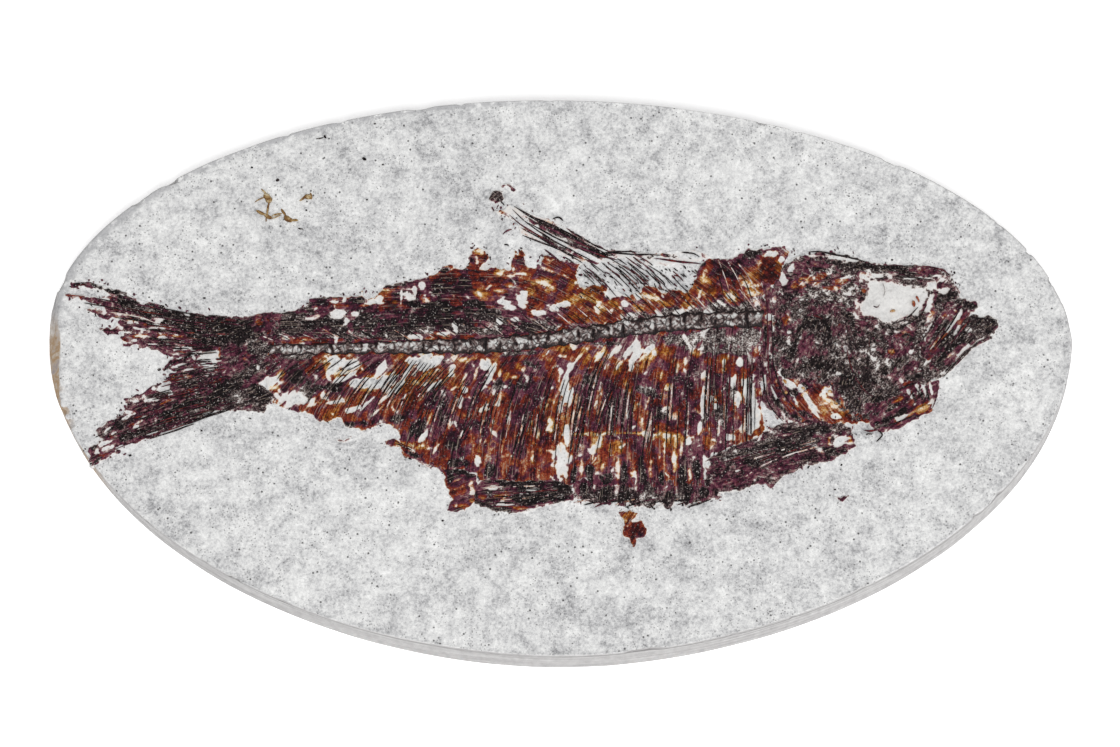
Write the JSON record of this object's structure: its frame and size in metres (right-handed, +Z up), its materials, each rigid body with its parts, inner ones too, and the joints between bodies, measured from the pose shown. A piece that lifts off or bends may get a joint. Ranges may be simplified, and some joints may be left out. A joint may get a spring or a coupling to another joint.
{
  "type": "fossil fish slab",
  "caption": "Oval cut limestone slab, flat underneath, with a herring-like fossil fish lying in low relief on its face: scale film, backbone, fins, skull and jaws.",
  "frame": {"origin": "middle of the slab's flat underside", "axes": "+X from the fish's tail to its head, +Y from its belly to its back, +Z up out of the face"},
  "size_m": [0.13, 0.072, 0.0103],
  "materials": {
    "limestone": "pale grey fine-grained limestone, matte, finely mottled face with dark grains, smooth sawn side with faint laminations",
    "scale_film": "mineralised fish scale, maroon to purple-black with red-brown and amber patches and pale gaps, satin",
    "dark_bone": "mineralised bone, black-brown, ridged, satin",
    "pale_bone": "vertebrae, crystal grey-green cores with dark rims, satin",
    "amber_film": "thin amber to red-brown scale film, satin",
    "ochre_film": "pale ochre mineral stain, matte"
  },
  "bodies": {
    "root": {"slab": "limestone", "vertebra_01": "pale_bone", "vertebra_02": "pale_bone", "vertebra_03": "pale_bone", "vertebra_04": "pale_bone", "vertebra_05": "pale_bone", "vertebra_06": "pale_bone", "vertebra_07": "pale_bone", "vertebra_08": "pale_bone", "vertebra_09": "pale_bone", "vertebra_10": "pale_bone", "vertebra_11": "pale_bone", "vertebra_12": "pale_bone", "vertebra_13": "pale_bone", "vertebra_14": "pale_bone", "vertebra_15": "pale_bone", "vertebra_16": "pale_bone", "vertebra_17": "pale_bone", "vertebra_18": "pale_bone", "vertebra_19": "pale_bone", "vertebra_20": "pale_bone", "vertebra_21": "pale_bone", "vertebra_22": "pale_bone", "vertebra_23": "pale_bone", "vertebra_24": "pale_bone", "vertebra_25": "pale_bone", "vertebra_26": "pale_bone", "vertebra_27": "pale_bone", "vertebra_28": "pale_bone", "vertebra_29": "pale_bone", "vertebra_30": "pale_bone", "vertebra_31": "pale_bone", "vertebra_32": "pale_bone", "back_scales": "scale_film", "belly_scales": "scale_film", "vent_scales": "scale_film", "throat_scales": "amber_film", "tail_root": "dark_bone", "tail_upper_lobe": "dark_bone", "tail_lower_lobe": "dark_bone", "dorsal_fin": "dark_bone", "anal_fin": "dark_bone", "pelvic_fin": "dark_bone", "pectoral_fin": "dark_bone", "belly_keel": "dark_bone", "skull": "dark_bone", "gill_cover": "dark_bone", "cheek_bone": "dark_bone", "throat_rays": "scale_film", "upper_jaw": "dark_bone", "lower_jaw": "dark_bone", "throat_plate": "dark_bone", "shoulder_bone": "dark_bone", "stray_red_scale": "scale_film", "stray_fin_scale": "dark_bone", "stray_fin_splinter": "dark_bone", "stray_throat_splinter": "dark_bone", "stray_tail_splinter": "dark_bone", "stray_ochre_scrap": "ochre_film", "stray_ochre_chip": "ochre_film"}
  },
  "joints": []
}
